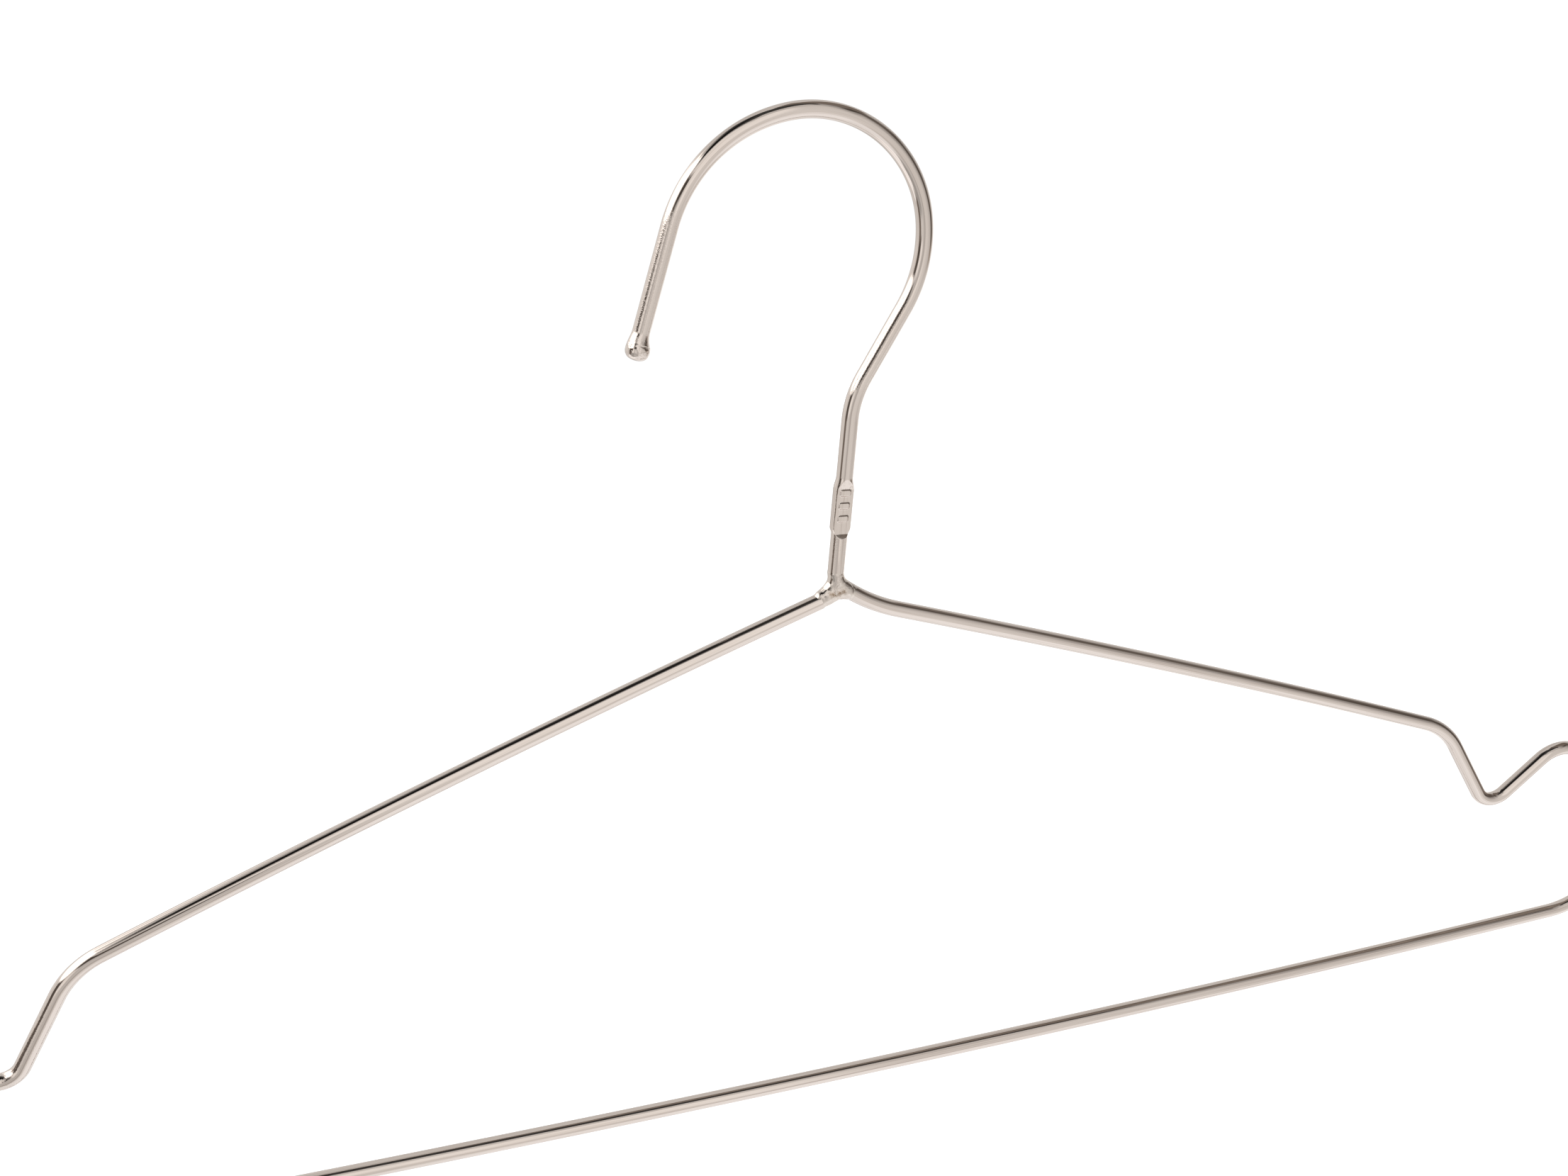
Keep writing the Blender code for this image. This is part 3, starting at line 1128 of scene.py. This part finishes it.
@dataclass
class Weld:
    """The nugget that fuses the neck's foot with the two shoulders.

    The points of its flank, bead, skin, calm and scorch are in millimetres.
    """

    bend_radius: float = 0.0043
    bend_turn: float = math.radians(56.9)
    right_run: float = 0.0025
    ease_radius: float = 0.0402
    bridge_radius: float = 0.00162
    bridge_bend_radius: float = 0.0055
    bridge_turn: float = math.radians(36)
    flank: tuple[Point, ...] = ((4.30, -94.90), (3.10, -96.25), (1.75, -97.35))
    flank_radius: float = 0.00125
    bead: tuple[Point, ...] = ((3.2, -97.65), (5.2, -97.15), (6.7, -97.15))
    bead_radius: float = 0.00150
    bead_depth: float = 1.12
    skin_centre: Point = (6.3, -96.3)
    skin_radius: float = 0.00195
    skin_height: float = 0.00008
    skin_edge: float = 0.00012
    lip_height: float = 0.00005
    lip_rise: float = 0.0002
    lip_run: float = 0.002
    lip_side: float = 0.0040
    lip_fade: float = 0.0008
    calm: tuple[Point, ...] = ((3.7, -93.3), (1.8, -96.2))
    calm_reach: float = 0.0013
    scorch: tuple[Point, ...] = ((3.3, -96.7), (4.4, -97.0), (6.1, -96.4))
    scorch_reach: float = 0.0011
    blend: float = 0.0009
    ripple: float = 0.000045
    waves: float = 1300
    trim_fade: float = 0.0006
    settlings: int = 6
    nudge: float = 0.00001
    least_steep: float = 0.25
    grain: float = 0.00011
    overrun: float = 0.004
    trim: float = 0.012
    tail: float = 0.0016

    def bend(self, neck_end: Station) -> Route:
        """The wire's route inside the weld, from the neck to the right shoulder."""
        route = Route(neck_end).bend(self.bend_radius, self.bend_turn)
        return route.bend(self.ease_radius, self.right_run / self.ease_radius)

    def behind(self, station: Station) -> list[Station]:
        """Stations that reach back past a station, and end on it."""
        back = Route(turned_back([station])[0]).straight(self.overrun)
        return turned_back(back.stations)

    def lay_out(self, neck_end: Station, left_end: Station) -> None:
        """Place the rods that the nugget grows from, and its three trims.

        Args:
            neck_end: the station where the neck ends.
            left_end: the station of the left shoulder's welded end, facing the weld.
        """
        self.neck_end = neck_end
        route = self.bend(neck_end)
        right_trim = route.end
        self.bent = self.behind(neck_end) + route.straight(self.overrun).stations[1:]
        bridge = Route(left_end).bend(self.bridge_bend_radius, self.bridge_turn)
        self.bridge = self.behind(left_end) + bridge.stations[1:]
        left_trim = ahead_of(turned_back([left_end])[0], self.tail)
        self.trims = ((neck_end, 1), (right_trim, -1), (left_trim, -1))

    def in_metres(self, points: Sequence[Point]) -> list[Station]:
        """Stations at points given in millimetres.

        Args:
            points: the points, as (x, z).

        Returns:
            The stations, each facing the next.
        """
        places = [(x / 1000, z / 1000) for x, z in points]
        ahead = places[1:] + [places[-1]]
        turns = [math.atan2(q[1] - p[1], q[0] - p[0]) for p, q in zip(places, ahead)]
        turns[-1] = turns[-2]
        return [(x, z, turn) for (x, z), turn in zip(places, turns)]

    def off_rod(
        self, points: np.ndarray, path: Sequence[Station], depth: float = 1.0
    ) -> np.ndarray:
        """How far points are from a line in the hanger's plane.

        Args:
            points: the points.
            path: the line's stations.
            depth: how much further the rod round it reaches to the front and back.

        Returns:
            The distances.
        """
        flat = points[:, (0, 2)]
        near = np.full(len(points), 1.0)
        for first, second in zip(path, path[1:]):
            start = np.array(first[:2])
            along = np.array(second[:2]) - start
            share = ((flat - start) @ along / (along @ along)).clip(0, 1)
            gap = flat - start - share[:, None] * along
            near = np.minimum(near, np.hypot(gap[:, 0], gap[:, 1]))
        return np.hypot(near, points[:, 1] / depth)

    def merged(self, first: np.ndarray, second: np.ndarray) -> np.ndarray:
        """Two distances joined with a fillet between their shapes."""
        share = (0.5 + 0.5 * (second - first) / self.blend).clip(0, 1)
        return second + (first - second) * share - self.blend * share * (1 - share)

    def skin(self, points: np.ndarray) -> np.ndarray:
        """Distance of points from the nugget's surface, below 0 inside.

        Args:
            points: the points.

        Returns:
            The distances.
        """
        below = past(points, self.neck_end)
        lip = self.lip_height * eased_all(below / self.lip_rise)
        lip *= 1 - eased_all(below / self.lip_run)
        lip *= 1 - eased_all((points[:, 0] - self.lip_side) / self.lip_fade)
        body = self.off_rod(points, self.bent) - WIRE_RADIUS - lip
        bridge = self.off_rod(points, self.bridge) - self.bridge_radius
        flank = self.off_rod(points, self.in_metres(self.flank)) - self.flank_radius
        bead = self.off_rod(points, self.in_metres(self.bead), self.bead_depth)
        body = self.merged(body, bridge)
        body = self.merged(body, flank)
        body = self.merged(body, bead - self.bead_radius)
        centre_x, centre_z = self.skin_centre
        off = np.hypot(points[:, 0] - centre_x / 1000, points[:, 2] - centre_z / 1000)
        off = (off - self.skin_radius) / self.skin_edge
        return body - self.skin_height * (1 - eased_all(off))

    def settle(self, points: np.ndarray) -> np.ndarray:
        """Move points onto the nugget's surface.

        Args:
            points: points close to it.

        Returns:
            The moved points.
        """
        for _ in range(self.settlings):
            here = self.skin(points)
            aside = [self.skin(points + axis) for axis in np.eye(3) * self.nudge]
            slope = (np.stack(aside, axis=1) - here[:, None]) / self.nudge
            steep = np.maximum((slope * slope).sum(axis=1), self.least_steep)
            points = points - (here / steep)[:, None] * slope
        return points

    def rod(self, stations: Sequence[Station], radius: float) -> bmesh.types.BMesh:
        """A round tube along the stations."""
        return Tube(stations, [round_section(radius)] * len(stations), 0.0).bm

    def block(self, station: Station, way: int) -> bmesh.types.BMesh:
        """A block over what lies beyond one of the nugget's trims.

        Args:
            station: the trim's station.
            way: 1 where the nugget lies ahead of it, -1 where it lies behind.

        Returns:
            The block.
        """
        bm = bmesh.new()
        bmesh.ops.create_cube(bm, size=self.trim)
        shift = Matrix.Translation((0, 0, -way * self.trim / 2))
        bmesh.ops.transform(bm, matrix=frame_at(station) @ shift, verts=bm.verts)
        return bm

    def join(self, piece: bpy.types.Object, shape: bmesh.types.BMesh, how: str) -> None:
        """Join a shape to a piece, or cut it away.

        Args:
            piece: the piece.
            shape: the other shape, which is used up.
            how: the Boolean's operation.
        """
        helper = as_piece("weld_helper", shape)
        modifier = piece.modifiers.new(how, "BOOLEAN")
        modifier.operation = how
        modifier.solver = "EXACT"
        modifier.object = helper
        applied(piece)
        bpy.data.objects.remove(helper, do_unlink=True)

    def build(self, neck_end: Station, left_end: Station) -> None:
        """Make the nugget.

        Args:
            neck_end: the station where the neck ends.
            left_end: the station of the left shoulder's welded end, facing the weld.
        """
        self.lay_out(neck_end, left_end)
        rods = (
            (self.bridge, self.bridge_radius),
            (self.in_metres(self.flank), self.flank_radius),
            (self.in_metres(self.bead), self.bead_radius),
        )
        piece = as_piece("neck_weld_nugget", self.rod(self.bent, WIRE_RADIUS))
        for path, radius in rods:
            self.join(piece, self.rod(path, radius), "UNION")
        melt = piece.modifiers.new("melt", "REMESH")
        melt.mode = "VOXEL"
        melt.voxel_size = self.grain
        applied(piece)
        settled = self.settle(points_of(piece))
        settled += self.ripples(settled)
        piece.data.vertices.foreach_set("co", settled.ravel())
        for station, way in self.trims:
            self.join(piece, self.block(station, way), "DIFFERENCE")
        piece.data.shade_smooth()
        piece.data.set_sharp_from_angle(angle=CREASE_ANGLE)
        self.dress(piece)
        stand_in(piece, "neck_weld")

    def melted(self, points: np.ndarray) -> np.ndarray:
        """How far points lie in the melted metal, from 0 at the trims to 1 inside.

        Args:
            points: the points.

        Returns:
            A share for each point.
        """
        share = np.ones(len(points))
        for station, way in self.trims:
            inside = way * past(points, station) / self.trim_fade
            share = np.minimum(share, eased_all(inside))
        calm = self.off_rod(points * (1, 0, 1), self.in_metres(self.calm))
        return share * eased_all(calm / self.calm_reach)

    def ripples(self, points: np.ndarray) -> np.ndarray:
        """Waves that the melted metal froze with.

        Args:
            points: points of the smooth surface.

        Returns:
            A move for each point.
        """
        waves = np.array([noise.noise(Vector(p) * self.waves) for p in points])
        height = waves * self.ripple * self.melted(points)
        moves = np.zeros_like(points)
        moves[:, 1] = np.sign(points[:, 1]) * height
        return moves

    def dress(self, piece: bpy.types.Object) -> None:
        """Give the nugget its coordinates and its finish.

        Args:
            piece: the nugget.
        """
        points = points_of(piece)
        old = piece.data.attributes.get("wire_place")
        if old is not None:
            piece.data.attributes.remove(old)
        near = self.off_rod(points * (1, 0, 1), self.in_metres(self.scorch))
        melted = self.melted(points)
        scorch = (1 - eased_all(near / self.scorch_reach)) * melted
        for name, kind, key, values in (
            ("wire_place", "FLOAT_VECTOR", "vector", points.ravel()),
            ("scorch", "FLOAT", "value", scorch),
            ("melted", "FLOAT", "value", melted),
        ):
            made = piece.data.attributes.new(name, kind, "POINT")
            made.data.foreach_set(key, values)
        piece.data.materials.clear()
        piece.data.materials.append(WeldSteel("weld_bead_steel").material())


# The studio


DARK = (1.12, 0.98, 0.88)
COOL = (0.98, 1.0, 1.03)


@dataclass(frozen=True)
class Panel:
    """A light or dark panel of the studio, by the direction in which steel sees it."""

    azimuth: Span
    elevation: Span
    light: float
    edge: float = 6.0
    slope: float = 0.0
    tint: Colour = (1.0, 1.0, 1.0)

    def share(self, azimuth: Socket, elevation: Socket) -> Socket:
        """How much of a direction the panel covers.

        Args:
            azimuth: the direction's azimuth in degrees, 0 in front and + to the right.
            elevation: its elevation in degrees.

        Returns:
            A share from 0 to 1.
        """
        middle = sum(self.azimuth) / 2
        half = (self.azimuth[1] - self.azimuth[0]) / 2
        beside = azimuth.beside(middle)
        level = elevation - beside * self.slope
        centre = sum(self.elevation) / 2
        height = (self.elevation[1] - self.elevation[0]) / 2
        edge = self.edge / 2
        in_width = 1.0 - abs(beside).smooth(half - edge, half + edge)
        in_height = 1.0 - abs(level - centre).smooth(height - edge, height + edge)
        return in_width * in_height


@dataclass
class Studio:
    """A white studio with softboxes, dark flags, a pale floor and the camera.

    Behind the hanger it is white in front and pale grey to the sides, where white
    steel has to stand out.
    """

    lens: float = 39.41507
    eye: tuple[float, float, float] = (-0.10065973, -0.31767843, 0.03869612)
    right: tuple[float, float, float] = (0.95592986, -0.29277889, -0.0218773)
    down: tuple[float, float, float] = (-0.12863863, -0.35069414, -0.92761292)
    ahead: tuple[float, float, float] = (0.26391324, 0.88954715, -0.37290167)
    floor_half: float = 3.0
    floor_height: float = -0.85
    floor_grey: float = 0.8
    floor_glow: float = 0.6
    floor_rough: float = 0.9
    base: float = 0.94
    front_white: float = 1.05
    side_grey: float = 0.86
    side_angles: Span = (40.0, 70.0)
    horizon: Span = (-12.0, -6.0)
    sensor: float = 36.0
    near: float = 0.01
    panels: tuple[Panel, ...] = (
        Panel((-400, 400), (-98, -44), 1.22, edge=13.1, tint=COOL),
        Panel((-29, 15), (-3, 60), 1.22, edge=7.1, slope=-0.43),
        Panel((-126, -54), (14, 49), 2.40, edge=5.5, slope=0.03),
        Panel((-155, -125), (10, 39), 2.10, edge=2.8, slope=-0.05),
        Panel((-168, -114), (-2, 17), 1.06, edge=11.4, slope=-0.24),
        Panel((117, 152), (-54, -5), 1.30, edge=9.7, slope=-0.17),
        Panel((-191, -150), (-57, -1), 0.83, edge=11.6, slope=-0.22),
        Panel((-211, -138), (29, 90), 0.80, edge=14.8, slope=-0.01),
        Panel((-138, 65), (53, 100), 0.06, edge=21.0, slope=-0.06),
        Panel((-84, -39), (46, 86), 0.012, edge=7.0, slope=-0.52),
        Panel((-6, 35), (38, 58), 0.80, edge=3.0, slope=-0.08),
        Panel((34, 56), (30, 56), 0.71, edge=3.0, slope=0.78),
        Panel((51, 105), (-6, 87), 0.13, edge=53.9, slope=0.01, tint=DARK),
        Panel((59, 150), (41, 97), 0.23, edge=3.6, slope=-0.25, tint=DARK),
        Panel((84, 122), (21, 29), 0.19, edge=16.5, slope=-0.35, tint=DARK),
        Panel((60, 98), (27, 33), 0.16, edge=4.0, slope=-0.29, tint=DARK),
        Panel((41, 119), (17, 20), 0.47, edge=9.9, slope=0.09),
        Panel((47, 80), (41, 48), 0.10, edge=3.9, slope=0.19, tint=DARK),
        Panel((66, 96), (-19, 0), 0.42, edge=7.0, tint=DARK),
        Panel((66, 89), (-14, 29), 0.12, edge=6.3, slope=-0.02, tint=DARK),
        Panel((-122, -50), (-72, -37), 1.52, edge=10.0, tint=COOL),
        Panel((-106, -88), (-44, -29), 1.50, edge=5.0, tint=COOL),
        Panel((-88, -60), (-34, -20), 0.62, edge=7.0),
        Panel((-66, -34), (-50, -18), 0.52, edge=9.0),
        Panel((112, 152), (6, 37), 0.72, edge=4.3, slope=-0.05),
        Panel((-88, -60), (-8, 13), 0.12, edge=4.0, slope=-0.02, tint=DARK),
        Panel((-91, -66), (-30, -5), 0.22, edge=4.6, slope=-0.04, tint=DARK),
        Panel((-56, -34), (-6, 8), 1.25, edge=5.0),
        Panel((-46, -19), (7, 25), 0.08, edge=5.0, slope=-0.52, tint=DARK),
        Panel((-34, -9), (-40, 10), 0.76, edge=10.4, slope=-0.07),
        Panel((1, 41), (-40, -12), 0.99, edge=6.6, slope=-0.21),
        Panel((4, 74), (-86, -32), 1.30, edge=12.0, tint=COOL),
        Panel((128, 179), (5, 71), 0.83, edge=4.6, slope=-0.05),
    )

    def light(self) -> None:
        """Surround the hanger with the studio's panels and its backdrop."""
        world = bpy.data.worlds.new("studio")
        bpy.context.scene.world = world
        world.use_nodes = True
        sheet = Sheet(world.node_tree)
        seen = sheet.node("ShaderNodeTexCoord", {}, {}).outputs["Generated"]
        parts = sheet.node("ShaderNodeSeparateXYZ", {}, {"Vector": Socket(sheet, seen)})
        x, y, z = (Socket(sheet, output) for output in parts.outputs)
        azimuth = sheet.maths("ARCTAN2", x, y * -1.0) * math.degrees(1)
        elevation = sheet.maths("ARCSINE", z) * math.degrees(1)
        colour: object = grey(self.base)
        for panel in self.panels:
            shine = rgba(tuple(panel.light * part for part in panel.tint))
            colour = sheet.mix(panel.share(azimuth, elevation), colour, shine)
        path = sheet.node("ShaderNodeLightPath", {}, {}).outputs["Is Camera Ray"]
        facing = math.degrees(math.atan2(self.ahead[0], -self.ahead[1]))
        aside = abs(azimuth.beside(facing)).smooth(*self.side_angles)
        aside = aside * elevation.smooth(*self.horizon)
        backdrop = sheet.mix(aside, grey(self.front_white), grey(self.side_grey))
        colour = sheet.mix(Socket(sheet, path), colour, backdrop)
        inputs = {"Color": colour, "Strength": 1.0}
        sheet.close("ShaderNodeBackground", inputs, "ShaderNodeOutputWorld")

    def floor(self) -> None:
        """Lay the pale floor."""
        mesh = bpy.data.meshes.new("floor")
        half = self.floor_half
        corners = [(-half, -half), (half, -half), (half, half), (-half, half)]
        mesh.from_pydata(
            [(x, y, self.floor_height) for x, y in corners], [], [(0, 1, 2, 3)]
        )
        made = bpy.data.objects.new("floor", mesh)
        bpy.context.scene.collection.objects.link(made)
        made.visible_glossy = False
        material, sheet = fresh_material("pale_floor")
        sheet.close(
            "ShaderNodeBsdfPrincipled",
            {
                "Base Color": grey(self.floor_grey),
                "Roughness": self.floor_rough,
                "Emission Color": grey(1.0),
                "Emission Strength": self.floor_glow,
            },
        )
        mesh.materials.append(material)

    def camera(self) -> None:
        """Stand the camera where the photograph was taken."""
        data = bpy.data.cameras.new("camera")
        data.sensor_fit = "HORIZONTAL"
        data.sensor_width = self.sensor
        data.lens = self.lens
        data.clip_start = self.near
        made = bpy.data.objects.new("camera", data)
        axes = (Vector(self.right), -Vector(self.down), -Vector(self.ahead))
        turn = Matrix(axes).transposed().to_4x4()
        made.matrix_world = Matrix.Translation(self.eye) @ turn
        bpy.context.scene.collection.objects.link(made)
        bpy.context.scene.camera = made

    def build(self) -> None:
        """Set up the light, the floor and the camera."""
        bpy.context.scene.view_settings.view_transform = "Standard"
        self.light()
        self.floor()
        self.camera()


def main() -> None:
    """Build the hanger and its studio, and note the sizes."""
    logging.basicConfig(level=logging.INFO, format="%(name)s: %(message)s")
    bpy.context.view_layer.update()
    Studio().build()
    wire = Wire(DrawnSteel("drawn_wire_steel"))
    hook_end = Hook().build(wire)
    neck_end = Neck().build(wire, hook_end)
    weld = Weld()
    left_end = Frame().build(wire, weld.bend(neck_end).end)
    weld.build(neck_end, left_end)
    LOG.info("the wire is %.3f m long", wire.run)


if __name__ == "__main__":
    main()
